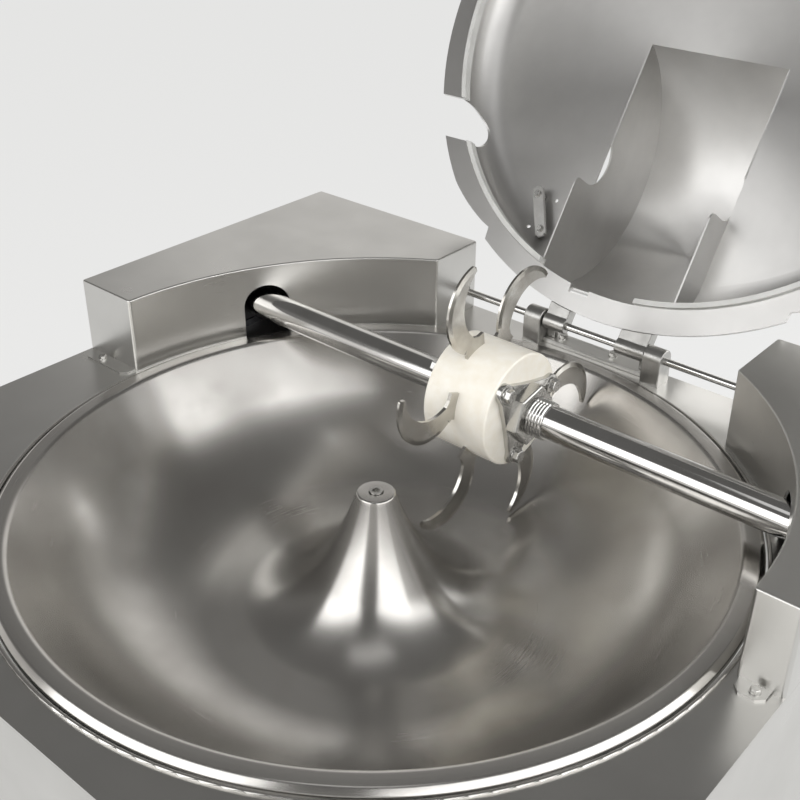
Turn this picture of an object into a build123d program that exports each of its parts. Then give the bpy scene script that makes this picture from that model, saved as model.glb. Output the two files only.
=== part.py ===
from build123d import *
import os
from math import asin, cos, degrees, radians, sin, sqrt, tan

# Bowl cutter for meat: a turning bowl, six sickle knives on a cross shaft, a hinged round lid.
# Millimetres and degrees. Origin on the floor under the bowl's axis, +Z up,
# +X along the knife shaft, -Y is the operator's side.

os.makedirs("parts", exist_ok=True)

# ---------------------------------------------------------------- driving dimensions
# heights
rim_height = 950.0  # floor to the bowl's rim
deck_drop = 9.5  # deck below the rim
housing_rise = 113.0  # top of the shaft housings above the rim
foot_height = 120.0  # floor to the cabinet's lower edge
crossbeam_drop = 300.0  # top of the beams that carry the spindle, below the rim

# sheet metal and frame
sheet = 3.0
tube_side = 40.0
tube_wall = 3.0

# cabinet outline
cabinet_left = 635.0
cabinet_right = 571.0
cabinet_front = 548.0
cabinet_back = 553.0

# bowl
bowl_radius = 500.0
bowl_wall = 6.0
rim_drop = 14.0  # depth of the turned-down lip
cone_radius = 26.0  # flat top of the centre cone
cone_cap = 18.0  # solid metal under the cone's top
cone_slope = 16.9  # cone's flank from the vertical, at its top
flank_radius = 418.0
flank_foot_radius = 125.0
wall_slope = 55.0  # outer wall where it meets the rim

# knives and shaft
shaft_y = 237.5
shaft_rise = 44.0  # shaft axis above the rim
shaft_radius = 24.0
knife_reach = 213.0  # tip circle
knife_gap = 4.0  # tips to trough
knife_count = 6
knife_thickness = 5.0
knife_first_x = -20.0
knife_pitch = 13.0
knife_first_angle = 39.0
knife_bevel = 1.6
knife_bevel_width = 7.0
hub_radius = 84.0
hub_left = -48.0
hub_right = 60.0
hub_seat_radius = 30.0
tongue_depth = 38.0  # how far a knife's root reaches into the hub
flange_thickness = 8.0
flange_arm_width = 50.0
flange_arm_length = 80.0
flange_boss_radius = 44.0
bolt_circle_radius = 66.0
bolt_first_angle = 15.0
hub_bolt_count = 3
thread_radius = 28.0
thread_end = 112.0
thread_pitch = 5.0
thread_depth = 2.0
ring_nut_flats = 78.0
ring_nut_width = 18.0

# bearings, seals and drive
journal_radius = 22.5
bearing_inner_radius = 32.0
bearing_outer_radius = 42.5
bearing_width = 22.0
block_left = 520.0  # bearing planes, left and right of the bowl's axis
block_right = 520.0
block_width = 36.0
block_radius = 54.0
block_foot_length = 190.0
block_foot_height = 18.0
seal_thickness = 8.0
pulley_seat_radius = 19.0
pulley_width = 38.0
pulley_centre_x = 563.0
belt_count = 3
belt_pitch = 12.0
belt_top = 9.0
belt_depth = 8.0
belt_bottom = 5.0
knife_pulley_radius = 60.0
motor_pulley_radius = 96.0
motor_y = 300.0
motor_z = 330.0
motor_radius = 120.0
motor_left = 500.0
motor_length = 380.0
motor_shaft_radius = 19.0
motor_shaft_reach = 25.0  # length of the rotor's shaft inside the motor's end shield
motor_fin = 8.0
motor_fin_count = 30
motor_foot_y = 85.0
motor_foot_width = 50.0
motor_foot_thickness = 12.0
motor_rail_height = 25.0
running_gap = 0.05  # radial clearance of a turning fit
side_gap = 0.3  # clearance beside a part that turns or lies close

# housings over the shaft's ends
well_gap = 15.0
well_radius = bowl_radius + well_gap  # concave walls round the bowl and lid
left_flat_x = 261.0
right_flat_x = 287.5
housing_front = 8.0
arch_radius = 34.5
tab_depth = 24.0
tab_bolt_x = (-588.0, 543.0)
tab_bolt_radius = 3.0
corner_radius = 5.0
rod_hole_radius = 14.0

# deck collar
collar_gap = 3.0
collar_radius = bowl_radius + collar_gap
collar_wall = 5.0
collar_rise = 3.0

# lid and its hinge
hinge_y = 522.5
hinge_rise = 30.7
rod_radius = 6.0
open_angle = 124.0
lid_set_in = 1.0  # the flange stops short of the bowl's rim
lid_flange_width = 40.0
lid_radius = bowl_radius - lid_set_in
lid_inner_radius = lid_radius - lid_flange_width
lid_flange_rise = 22.0  # underside of the closed lid's flange above the rim
lid_flange = 8.0
gasket_wall = 8.0
gasket_groove = 2.0
gasket_root = 6.0
gasket_drop = 8.0
roof_rise = 92.0
knuckle_radius = 55.0
hood_radius = 222.0
hood_left = 133.0
hood_right = 111.0
shaft_notch_radius = 36.0
shaft_notch_span = 200.0  # inwards from the flange's edge
partition_notch_radius = 45.0
partition_notch_rise = 20.0  # its arch's centre above the shaft's axis
bracket_width = 32.0
bracket_depth = 36.0
left_bracket_x = -124.0
right_bracket_x = 100.0
lug_gap = 2.0
left_lug_width = 40.0
right_lug_width = 52.0
lug_radius = 13.0
plate_thickness = 8.0
plate_front = 520.0
plate_bolt_x = (-65.0, 31.0)
plate_bolt_y = 540.0
plate_bolt_radius = 4.0
gasket_start = 50.0  # right of the hood's middle, where the gasket starts again
drain_x = -50.0  # rectangular cut-out in the flange beside the left lug
drain_y = 456.0
drain_width = 36.0
drain_depth = 24.0
rod_left = -300.0
rod_right = 330.0
lug_foot_reach = 42.0
heel_thickness = 12.0
heel_width = 14.0
partition_front = 12.5
relief_gap = 2.0  # room between the swinging flange and the housings' top edges
relief_end = 365.0  # where the flange's full width passes them
bar_length = 92.0
bar_width = 20.0
bar_thickness = 6.0
bar_drop = 14.0  # its upper face below the roof
bar_x = -207.0
bar_y = 348.0
bar_turn = 24.8
bar_bolt_y = 32.0
bar_bolt_radius = 3.0
bar_spacer_radius = 7.0
handle_span = 160.0
handle_rise = 42.0
handle_radius = 7.0
handle_y = -395.0

# spindle
spindle_radius = 30.0
spindle_nose_radius = 16.0
carrier_radius = 232.0
carrier_thickness = 12.0
spindle_boss_radius = 50.0
spindle_sleeve_radius = 62.0
bush_radius = 45.0
bush_length = 25.0
sleeve_rise = 75.0  # spindle sleeve above and below its flange
sleeve_fall = 95.0
sleeve_flange_radius = 130.0
sleeve_flange = 15.0
beam_y = 90.0
gear_motor_side = 170.0
gear_motor_height = 110.0
bowl_motor_radius = 75.0
bowl_motor_length = 240.0

# controls
panel_x = 440.0
panel_z = 790.0
panel_width = 200.0
panel_height = 150.0
panel_thickness = 4.0
button_stem_radius = 8.0
button_cap_radius = 14.0
stop_cap_radius = 20.0
button_travel = 4.0
button_stem_length = 22.0

# ---------------------------------------------------------------- worked-out levels
rim_z = rim_height
deck_top = rim_z - deck_drop
deck_bottom = deck_top - sheet
housing_top = rim_z + housing_rise
shaft_z = rim_z + shaft_rise
hinge_z = rim_z + hinge_rise
beam_top = rim_z - crossbeam_drop
tab_bolt_y = housing_front - tab_depth / 2
rim_section = Plane(origin=(0, 0, rim_z), x_dir=(1, 0, 0), z_dir=(0, -1, 0))  # local: radius, height
shaft_section = Plane(origin=(0, shaft_y, shaft_z), x_dir=(1, 0, 0), z_dir=(0, -1, 0))
shaft_axis = Axis((0, shaft_y, shaft_z), (1, 0, 0))
hinge_axis = Axis((0, hinge_y, hinge_z), (1, 0, 0))
motor_section = Plane(origin=(0, motor_y, motor_z), x_dir=(1, 0, 0), z_dir=(0, -1, 0))
motor_axis = Axis((0, motor_y, motor_z), (1, 0, 0))


def keep(part, label):
    part.label = label
    export_step(part, f"parts/{label}.step")


def across(x, y=shaft_y, z=shaft_z):
    """Plane square to the shaft, local x = +Y and local y = +Z."""
    return Plane(origin=(x, y, z), x_dir=(0, 1, 0), z_dir=(1, 0, 0))


def turned(plane, steps):
    """Half profile of a stepped round part: (start, end, radius) along the plane's x."""
    with BuildSketch(plane) as half:
        for start, end, radius in steps:
            with Locations(((start + end) / 2, radius / 2)):
                Rectangle(end - start, radius)
    return half.sketch


def ring(plane, inner, outer, thickness, mode=Mode.ADD):
    """Flat ring from the plane along its normal."""
    with BuildSketch(plane) as face:
        Circle(outer)
        Circle(inner, mode=Mode.SUBTRACT)
    return extrude(face.sketch, amount=thickness, mode=mode)


def hex_bolt(flats, head, shank_radius, length, washer_radius, washer):
    """Hexagon bolt along +Z, washer's underside at z = 0, shank below."""
    with BuildPart(mode=Mode.PRIVATE) as bolt:
        Cylinder(washer_radius, washer, align=(Align.CENTER, Align.CENTER, Align.MIN))
        with BuildSketch(Plane.XY.offset(washer)):
            RegularPolygon(flats / 2, 6, major_radius=False)
        extrude(amount=head)
        chamfer(bolt.faces().sort_by(Axis.Z)[-1].edges(), head * 0.12)
        with BuildSketch(Plane.XY):
            Circle(shank_radius)
        extrude(amount=-length)
    return bolt.part


# ---------------------------------------------------------------- bowl
# Trough: an arc round the shaft's axis, so the knife tips follow it, then a straight wall
# to the rim. Inside, two arcs climb to the centre cone. The underside is offset by the wall.
trough_radius = knife_reach + knife_gap
trough_floor = shaft_rise - trough_radius
flank_centre = (
    cone_radius + flank_radius * cos(radians(cone_slope)),
    flank_radius * sin(radians(cone_slope)),
)
foot_z = trough_floor + flank_foot_radius
foot_reach = flank_radius - flank_foot_radius
foot_centre = (flank_centre[0] - sqrt(foot_reach**2 - (flank_centre[1] - foot_z) ** 2), foot_z)
foot_angle = 180 + degrees(asin((flank_centre[1] - foot_z) / foot_reach))


def around(centre, radius, angle):
    return (centre[0] + radius * cos(radians(angle)), centre[1] + radius * sin(radians(angle)))


def flank_angle(radius, height):
    """Angle on the flank's arc where it is at this height."""
    return 180 + degrees(asin((flank_centre[1] - height) / radius))


def trough_line(wall, top_height, rim_level):
    """Trough's line at an offset from the cone's top (top_height) to the rim (rim_level)."""
    outer = flank_radius + wall
    foot = flank_foot_radius + wall
    floor = trough_radius + wall
    start = flank_angle(outer, top_height)
    wall_angle = 270 + wall_slope
    flank = CenterArc(flank_centre, outer, start, foot_angle - start)
    lower = CenterArc(foot_centre, foot, foot_angle, 270 - foot_angle)
    level = Line(around(foot_centre, foot, 270), (shaft_y, shaft_rise - floor))
    arc = CenterArc((shaft_y, shaft_rise), floor, 270, wall_slope)
    brow = around((shaft_y, shaft_rise), floor, wall_angle)
    crease = (brow[0] + (rim_level - brow[1]) / tan(radians(wall_slope)), rim_level)
    side = Line(brow, crease)
    return flank @ 0, side @ 1


with BuildPart() as bowl:
    with BuildSketch(rim_section) as bowl_profile:
        with BuildLine():
            cone_edge, crease_in = trough_line(0, 0, 0)
            cone_under, crease_out = trough_line(bowl_wall, -cone_cap, -bowl_wall)
            Line((0, 0), cone_edge)
            Polyline(
                crease_in,
                (bowl_radius - rim_drop / 2, 0),
                (bowl_radius, -rim_drop / 2),
                (bowl_radius, -rim_drop),
                (bowl_radius - bowl_wall, -rim_drop),
                (bowl_radius - bowl_wall, -bowl_wall - 1),
                (bowl_radius - bowl_wall - 1, -bowl_wall),
                crease_out,
            )
            Polyline(cone_under, (0, -cone_cap), (0, 0))
        make_face()
        for corner, radius in (
            (crease_in, 10),
            (Vector(bowl_radius - rim_drop / 2, 0), 4),
            (Vector(bowl_radius, -rim_drop / 2), 4),
            (cone_edge, 2.5),
        ):
            fillet(bowl_profile.vertices().sort_by_distance(corner)[0], radius)
    revolve(axis=Axis.Z)
    with Locations((0, 0, rim_z)):
        CounterBoreHole(6.3, 9.6, 10, depth=cone_cap)
keep(bowl.part, "bowl")

with BuildPart() as cap_screw:
    with Locations((0, 0, rim_z - 10)):
        Cylinder(9, 12, align=(Align.CENTER, Align.CENTER, Align.MIN))
    with BuildSketch(Plane.XY.offset(rim_z + 2)):
        RegularPolygon(5, 6, major_radius=False)
    extrude(amount=-7, mode=Mode.SUBTRACT)
    with Locations((0, 0, rim_z - 10)):
        Cylinder(6, 40, align=(Align.CENTER, Align.CENTER, Align.MAX))
keep(cap_screw.part, "bowl_cap_screw")

# Spindle: nose under the cone's cap, body down through the sleeve into the gear motor.
bowl_underside = trough_floor - bowl_wall
carrier_bottom = bowl_underside - carrier_thickness
sleeve_top = sleeve_rise - crossbeam_drop
sleeve_bottom = -crossbeam_drop - sleeve_fall
spindle_bottom = sleeve_bottom - gear_motor_height + 30
with BuildPart() as spindle:
    revolve(
        turned(
            Plane(origin=(0, 0, rim_z), x_dir=(0, 0, -1), z_dir=(0, -1, 0)),
            [
                (cone_cap, cone_cap + 70, spindle_nose_radius),
                (cone_cap + 70, -spindle_bottom, spindle_radius),
                (-carrier_bottom, -sleeve_top - 12, spindle_boss_radius),
            ],
        ),
        axis=Axis.Z,
    )
    with Locations((0, 0, rim_z - cone_cap)):
        Hole(6.05, depth=34)
keep(spindle.part, "bowl_spindle")

with BuildPart() as carrier:
    with BuildSketch(Plane.XY.offset(rim_z + bowl_underside)):
        Circle(carrier_radius)
        Circle(spindle_radius, mode=Mode.SUBTRACT)
        with PolarLocations(130, 6):
            Circle(34, mode=Mode.SUBTRACT)
    extrude(amount=-carrier_thickness)
keep(carrier.part, "bowl_carrier")

# ---------------------------------------------------------------- spindle sleeve and gear motor
with BuildPart() as sleeve:
    with BuildSketch(Plane.XY.offset(beam_top)):
        Circle(sleeve_flange_radius)
    extrude(amount=sleeve_flange)
    with BuildSketch(Plane.XY.offset(rim_z + sleeve_top)):
        Circle(spindle_sleeve_radius)
    extrude(amount=-(sleeve_rise + sleeve_fall))
    with BuildSketch(Plane.XY.offset(rim_z + sleeve_top)):
        Circle(bush_radius)
    extrude(amount=-(sleeve_rise + sleeve_fall), mode=Mode.SUBTRACT)
    with Locations(Plane.XY.offset(beam_top + sleeve_flange)):
        with GridLocations(2 * beam_y, 2 * beam_y * 0.5, 2, 2):
            Hole(6, depth=sleeve_flange)
keep(sleeve.part, "spindle_sleeve")

with BuildPart() as bushes:
    ring(Plane.XY.offset(rim_z + sleeve_top), spindle_radius + running_gap, bush_radius, -bush_length)
    ring(Plane.XY.offset(rim_z + sleeve_bottom), spindle_radius + running_gap, bush_radius, bush_length)
keep(bushes.part, "spindle_bushes")

with BuildPart() as gear_motor:
    with BuildSketch(Plane.XY.offset(rim_z + sleeve_bottom)):
        RectangleRounded(gear_motor_side, gear_motor_side, 18)
    extrude(amount=-gear_motor_height)
    with BuildSketch(Plane.XY.offset(rim_z + sleeve_bottom)):
        Circle(spindle_radius + running_gap)
    extrude(amount=-gear_motor_height, mode=Mode.SUBTRACT)
    motor_face = Plane(
        origin=(gear_motor_side / 2, 0, rim_z + sleeve_bottom - gear_motor_height / 2), z_dir=(1, 0, 0)
    )
    with BuildSketch(motor_face):
        Circle(gear_motor_height / 2 - 4)
    extrude(amount=14)
keep(gear_motor.part, "bowl_gearbox")

with BuildPart() as bowl_motor:
    with BuildSketch(motor_face.offset(14)):
        Circle(bowl_motor_radius)
    extrude(amount=bowl_motor_length)
    with BuildSketch(motor_face.offset(14 + 30)):
        with PolarLocations(bowl_motor_radius, 18):
            Rectangle(10, 3)
    extrude(amount=bowl_motor_length - 90)
keep(bowl_motor.part, "bowl_motor")

# ---------------------------------------------------------------- frame, feet and cabinet
inner_left = cabinet_left - sheet
inner_right = cabinet_right - sheet
inner_front = cabinet_front - sheet
inner_back = cabinet_back - sheet
frame_top = deck_bottom
half_tube = tube_side / 2


def tube(start, end):
    """Square tube between two points on one of the axes."""
    a = Vector(*start)
    b = Vector(*end)
    with BuildSketch(Plane(origin=a, z_dir=b - a)) as section:
        Rectangle(tube_side, tube_side)
        Rectangle(tube_side - 2 * tube_wall, tube_side - 2 * tube_wall, mode=Mode.SUBTRACT)
    return extrude(section.sketch, amount=(b - a).length)


x_rails = (-inner_left + half_tube, inner_right - half_tube)
y_rails = (-inner_front + half_tube, inner_back - half_tube)
low_rail = foot_height + half_tube
top_rail = frame_top - half_tube
beam_rail = beam_top - half_tube
block_beam_front = 160.0  # the beams under the bearing blocks start behind the bowl's widest part
block_stub_y = 362.0  # stub from the left rail, behind the belts
motor_beams = (-motor_left + 70, -motor_left + motor_length - 70)
with BuildPart() as machine_frame:
    for x in x_rails:
        for y in y_rails:
            tube((x, y, foot_height), (x, y, frame_top))
        for z in (low_rail, beam_rail, top_rail):
            tube((x, y_rails[0] + half_tube, z), (x, y_rails[1] - half_tube, z))
    for y in y_rails:
        for z in (low_rail, top_rail):
            tube((x_rails[0] + half_tube, y, z), (x_rails[1] - half_tube, y, z))
    for y in (-beam_y, beam_y):
        tube((x_rails[0] + half_tube, y, beam_rail), (x_rails[1] - half_tube, y, beam_rail))
    for x in (-block_left, block_right):
        tube((x, block_beam_front, top_rail), (x, y_rails[1] - half_tube, top_rail))
    tube((x_rails[0] + half_tube, block_stub_y, top_rail), (-block_left - half_tube, block_stub_y, top_rail))
    for x in motor_beams:
        tube((x, y_rails[0] + half_tube, low_rail), (x, y_rails[1] - half_tube, low_rail))
keep(machine_frame.part, "machine_frame")

foot_x = 500.0
foot_bolt_y = 480.0
foot_width = 80.0
foot_height_pad = 14.0
foot_stem_radius = 12.0
foot_bolt_radius = 7.0
with BuildPart() as feet:
    for x in (-foot_x, foot_x):
        for stem_y, side in ((y_rails[0], -1), (y_rails[1], 1)):
            bolt_y = side * foot_bolt_y
            with BuildSketch():
                with Locations((x, (stem_y + bolt_y) / 2)):
                    RectangleRounded(foot_width, abs(stem_y - bolt_y) + foot_width, 16)
                with Locations((x, bolt_y)):
                    Circle(foot_bolt_radius, mode=Mode.SUBTRACT)
            extrude(amount=foot_height_pad)
            with Locations((x, stem_y, foot_height_pad)):
                Cone(30, foot_stem_radius, 18, align=(Align.CENTER, Align.CENTER, Align.MIN))
                Cylinder(
                    foot_stem_radius,
                    foot_height - foot_height_pad,
                    align=(Align.CENTER, Align.CENTER, Align.MIN),
                )
keep(feet.part, "levelling_feet")

side_hatch = (420.0, 560.0)  # width and height of the opening behind the side cover
rear_hatch = (700.0, 560.0)
hatch_z = 480.0
hatch_y = 120.0
hatch_lap = 25.0
with BuildPart() as cabinet:
    cabinet_middle = ((cabinet_right - cabinet_left) / 2, (cabinet_back - cabinet_front) / 2)
    cabinet_width = cabinet_left + cabinet_right
    cabinet_depth = cabinet_front + cabinet_back
    with BuildSketch(Plane.XY.offset(foot_height)):
        with Locations(cabinet_middle):
            Rectangle(cabinet_width, cabinet_depth)
            Rectangle(cabinet_width - 2 * sheet, cabinet_depth - 2 * sheet, mode=Mode.SUBTRACT)
    extrude(amount=deck_bottom - foot_height)
    with BuildSketch(Plane(origin=(-cabinet_left, hatch_y, hatch_z), x_dir=(0, -1, 0), z_dir=(-1, 0, 0))):
        RectangleRounded(side_hatch[0], side_hatch[1], 20)
    extrude(amount=-sheet, mode=Mode.SUBTRACT)
    with BuildSketch(Plane(origin=(0, cabinet_back, hatch_z), x_dir=(-1, 0, 0), z_dir=(0, 1, 0))):
        RectangleRounded(rear_hatch[0], rear_hatch[1], 20)
    extrude(amount=-sheet, mode=Mode.SUBTRACT)
    panel_face = Plane(origin=(panel_x, -cabinet_front, panel_z), x_dir=(1, 0, 0), z_dir=(0, -1, 0))
    with BuildSketch(panel_face):
        Rectangle(panel_width - 40, panel_height - 40)
    extrude(amount=-sheet, mode=Mode.SUBTRACT)
keep(cabinet.part, "cabinet_body")

side_cover_plane = Plane(origin=(-cabinet_left, hatch_y, hatch_z), x_dir=(0, -1, 0), z_dir=(-1, 0, 0))
rear_cover_plane = Plane(origin=(0, cabinet_back, hatch_z), x_dir=(-1, 0, 0), z_dir=(0, 1, 0))
louvre_count = 8
louvre_pitch = 24.0
louvre_length = 120.0
louvre_slot = 5.0
louvre_hood = 9.0
with BuildPart() as side_cover:
    with BuildSketch(side_cover_plane):
        RectangleRounded(side_hatch[0] + 2 * hatch_lap, side_hatch[1] + 2 * hatch_lap, 12)
    extrude(amount=sheet)
keep(side_cover.part, "side_cover")

with BuildPart() as rear_cover:
    with BuildSketch(rear_cover_plane):
        RectangleRounded(rear_hatch[0] + 2 * hatch_lap, rear_hatch[1] + 2 * hatch_lap, 12)
        with Locations((-rear_hatch[0] / 4, 0), (rear_hatch[0] / 4, 0)):
            with GridLocations(louvre_length, louvre_pitch, 1, louvre_count):
                SlotOverall(louvre_length, louvre_slot, mode=Mode.SUBTRACT)
    extrude(amount=sheet)
    for x in (-rear_hatch[0] / 4, rear_hatch[0] / 4):
        for i in range(louvre_count):
            z = (i - (louvre_count - 1) / 2) * louvre_pitch + louvre_slot / 2
            with BuildSketch(
                Plane(
                    origin=(x - louvre_length / 2, cabinet_back + sheet, hatch_z + z),
                    x_dir=(0, 1, 0),
                    z_dir=(1, 0, 0),
                )
            ):
                Polygon((0, 0), (0, 2), (louvre_hood, -louvre_slot), (louvre_hood, -louvre_slot - 2),
                        align=None)
            extrude(amount=louvre_length)
keep(rear_cover.part, "rear_cover")

cover_screw_radius = 6.0
with BuildPart() as cover_screws:
    for plane, hatch in ((side_cover_plane, side_hatch), (rear_cover_plane, rear_hatch)):
        with BuildSketch(plane.offset(sheet)):
            with GridLocations(hatch[0] + hatch_lap, hatch[1] + hatch_lap, 2, 2):
                RegularPolygon(cover_screw_radius, 6, major_radius=False)
            with GridLocations(hatch[0] + hatch_lap, 1, 2, 1):
                RegularPolygon(cover_screw_radius, 6, major_radius=False)
        extrude(amount=4.5)
    with BuildSketch(panel_face.offset(panel_thickness)):
        with GridLocations(panel_width - 18, panel_height - 18, 2, 2):
            RegularPolygon(cover_screw_radius, 6, major_radius=False)
    extrude(amount=3)
keep(cover_screws.part, "cover_screws")

# ---------------------------------------------------------------- deck and collar
belt_slot = (pulley_width + 8, 2 * knife_pulley_radius + 30)
with BuildPart() as deck:
    with BuildSketch(Plane.XY.offset(deck_bottom)):
        with Locations(cabinet_middle):
            Rectangle(cabinet_width, cabinet_depth)
        Circle(collar_radius + collar_wall, mode=Mode.SUBTRACT)
        with Locations((-pulley_centre_x, shaft_y)):
            Rectangle(belt_slot[0], belt_slot[1], mode=Mode.SUBTRACT)
        with Locations(*[(x, tab_bolt_y) for x in tab_bolt_x]):
            Circle(tab_bolt_radius, mode=Mode.SUBTRACT)
        with Locations(*[(x, plate_bolt_y) for x in plate_bolt_x]):
            Circle(plate_bolt_radius, mode=Mode.SUBTRACT)
    extrude(amount=sheet)
    fillet(deck.edges().filter_by(Axis.Z).group_by(lambda e: e.center().Z)[0]
           .filter_by_position(Axis.X, -cabinet_left, cabinet_right)
           .sort_by_distance((0, 0, deck_top))[-4:], corner_radius)
keep(deck.part, "deck_plate")

with BuildPart() as collar:
    ring(Plane.XY.offset(deck_top + collar_rise), collar_radius, collar_radius + collar_wall,
         -collar_rise - sheet)
    fillet(collar.edges().group_by(Axis.Z)[-1], 1.5)
keep(collar.part, "deck_collar")

# ---------------------------------------------------------------- housings over the shaft's ends
left_rod_face = Plane(origin=(-left_flat_x, hinge_y, hinge_z), x_dir=(0, 1, 0), z_dir=(1, 0, 0))
right_rod_face = Plane(origin=(right_flat_x, hinge_y, hinge_z), x_dir=(0, 1, 0), z_dir=(-1, 0, 0))


def housing(side, outer_x, flat_x):
    """Sheet box with a concave wall round the bowl; side is -1 at the left, +1 at the right."""
    arc_start = (side * sqrt(well_radius**2 - housing_front**2), housing_front)
    arc_end = (side * flat_x, sqrt(well_radius**2 - flat_x**2))
    middle = 0.5 * (degrees(asin(housing_front / well_radius)) + degrees(asin(arc_end[1] / well_radius)))
    arc_middle = (side * well_radius * cos(radians(middle)), well_radius * sin(radians(middle)))
    with BuildSketch(Plane.XY.offset(deck_top)) as outline:
        with BuildLine():
            Polyline(
                arc_start,
                (side * outer_x, housing_front),
                (side * outer_x, cabinet_back),
                (side * flat_x, cabinet_back),
                arc_end,
            )
            ThreePointArc(arc_end, arc_middle, arc_start)
        make_face()
        fillet(outline.vertices(), corner_radius)
    inner = offset(outline.sketch, amount=-sheet)
    with BuildPart(mode=Mode.PRIVATE) as shell:
        extrude(outline.sketch, amount=housing_rise + deck_drop)
        fillet(shell.faces().sort_by(Axis.Z)[-1].edges(), 2.5)
        extrude(inner, amount=housing_rise + deck_drop - sheet, mode=Mode.SUBTRACT)
        # arched slot for the shaft, open down to the deck
        with BuildSketch(across(side * well_radius * 0.8)):
            Circle(arch_radius)
            with Locations((0, -arch_radius)):
                Rectangle(2 * arch_radius, 2 * arch_radius)
            with Locations((0, -shaft_rise - deck_drop - arch_radius)):
                Rectangle(4 * arch_radius, 2 * arch_radius, mode=Mode.SUBTRACT)
        extrude(amount=side * 0.16 * well_radius, mode=Mode.SUBTRACT)
        # round hole for the lid's rod
        rod_face = left_rod_face if side < 0 else right_rod_face
        with BuildSketch(rod_face):
            Circle(rod_hole_radius)
        extrude(amount=-sheet, mode=Mode.SUBTRACT)
        # foot tab in front, bolted to the deck
        tab_end = side * (outer_x - 14)
        with BuildSketch(Plane.XY.offset(deck_top)):
            Polygon(
                (tab_end, housing_front),
                (tab_end, housing_front - tab_depth + 9),
                (tab_end - side * 9, housing_front - tab_depth),
                (arc_start[0] + side * 14, housing_front - tab_depth),
                (arc_start[0] + side * 5, housing_front - tab_depth + 9),
                (arc_start[0] + side * 5, housing_front),
                align=None,
            )
        extrude(amount=sheet)
        with Locations((tab_bolt_x[side > 0], tab_bolt_y, deck_top + sheet)):
            Hole(tab_bolt_radius, depth=sheet)
    return shell.part


keep(housing(-1, cabinet_left, left_flat_x), "left_housing")
keep(housing(1, cabinet_right, right_flat_x), "right_housing")

with BuildPart() as housing_bolts:
    for x in tab_bolt_x:
        add(Pos(x, tab_bolt_y, deck_top + sheet) * hex_bolt(10, 4.5, tab_bolt_radius, 2 * sheet, 6.5, 1))
keep(housing_bolts.part, "housing_bolts")

# ---------------------------------------------------------------- bearing blocks and seals
block_seat = deck_top


def bearing_block(x):
    """Upright block with a round head, its foot bolted through the deck."""
    with BuildPart(mode=Mode.PRIVATE) as block:
        with BuildSketch(across(x - block_width / 2)):
            Circle(block_radius)
            with Locations((0, -(shaft_rise + deck_drop) / 2)):
                Rectangle(2 * block_radius, shaft_rise + deck_drop)
            with Locations((0, -shaft_rise - deck_drop + block_foot_height / 2)):
                Rectangle(block_foot_length, block_foot_height)
            with Locations((0, -shaft_rise - deck_drop - block_radius)):
                Rectangle(block_foot_length, 2 * block_radius, mode=Mode.SUBTRACT)
            Circle(bearing_outer_radius, mode=Mode.SUBTRACT)
        extrude(amount=block_width)
        with Locations(Plane.XY.offset(block_seat + block_foot_height)):
            with Locations((x, shaft_y - block_bolt_y), (x, shaft_y + block_bolt_y)):
                Hole(block_bolt_radius, depth=block_foot_height)
    return block.part


block_bolt_y = 76.0
block_bolt_radius = 6.5
keep(bearing_block(-block_left), "left_bearing_block")
keep(bearing_block(block_right), "right_bearing_block")

with BuildPart() as block_bolts:
    for x in (-block_left, block_right):
        for y in (shaft_y - block_bolt_y, shaft_y + block_bolt_y):
            add(Pos(x, y, block_seat + block_foot_height)
                * hex_bolt(18, 8, block_bolt_radius, block_foot_height, 11, 2))
keep(block_bolts.part, "bearing_block_bolts")

with BuildPart() as outer_rings:
    for x in (-block_left, block_right):
        ring(across(x - bearing_width / 2), bearing_inner_radius + running_gap, bearing_outer_radius,
             bearing_width)
keep(outer_rings.part, "bearing_outer_rings")

with BuildPart() as inner_rings:
    for x in (-block_left, block_right):
        ring(across(x - bearing_width / 2), journal_radius, bearing_inner_radius, bearing_width)
keep(inner_rings.part, "bearing_inner_rings")

with BuildPart() as seals:
    for x in (-block_left + block_width / 2, block_right - block_width / 2 - seal_thickness):
        with BuildSketch(across(x)):
            Circle(arch_radius - 1)
            with Locations((0, -arch_radius / 2)):
                Rectangle(2 * arch_radius - 2, arch_radius)
            Circle(shaft_radius + running_gap, mode=Mode.SUBTRACT)
        extrude(amount=seal_thickness)
keep(seals.part, "shaft_seals")

# ---------------------------------------------------------------- knife shaft
shaft_left = -pulley_centre_x - pulley_width / 2 - 4
shaft_right = block_right + block_width / 2 + 12
journal_left = -block_left + bearing_width / 2
journal_right = block_right - bearing_width / 2
flange_face = hub_right + flange_thickness
nut_face = flange_face + ring_nut_width
with BuildPart() as shaft:
    steps = [
        (shaft_left, -pulley_centre_x + pulley_width / 2, pulley_seat_radius),
        (-pulley_centre_x + pulley_width / 2, journal_left, journal_radius),
        (journal_left, hub_left, shaft_radius),
        (hub_left, flange_face, hub_seat_radius),
        (flange_face, nut_face, thread_radius),
        (nut_face, thread_end, thread_radius - thread_depth),
        (thread_end, journal_right, shaft_radius),
        (journal_right, shaft_right, journal_radius),
    ]
    revolve(turned(shaft_section, steps), axis=shaft_axis)
    # thread drawn as rings at its pitch
    crest = nut_face
    while crest + thread_pitch <= thread_end:
        with BuildSketch(shaft_section) as thread_ring:
            with BuildLine():
                Polyline(
                    (crest, thread_radius - thread_depth - 1),
                    (crest, thread_radius - thread_depth),
                    (crest + thread_pitch * 0.35, thread_radius),
                    (crest + thread_pitch * 0.65, thread_radius),
                    (crest + thread_pitch, thread_radius - thread_depth),
                    (crest + thread_pitch, thread_radius - thread_depth - 1),
                    close=True,
                )
            make_face()
        revolve(axis=shaft_axis)
        crest += thread_pitch
    chamfer(shaft.faces().sort_by(Axis.X)[0].edges(), 1.5)
keep(shaft.part, "knife_shaft")

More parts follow.
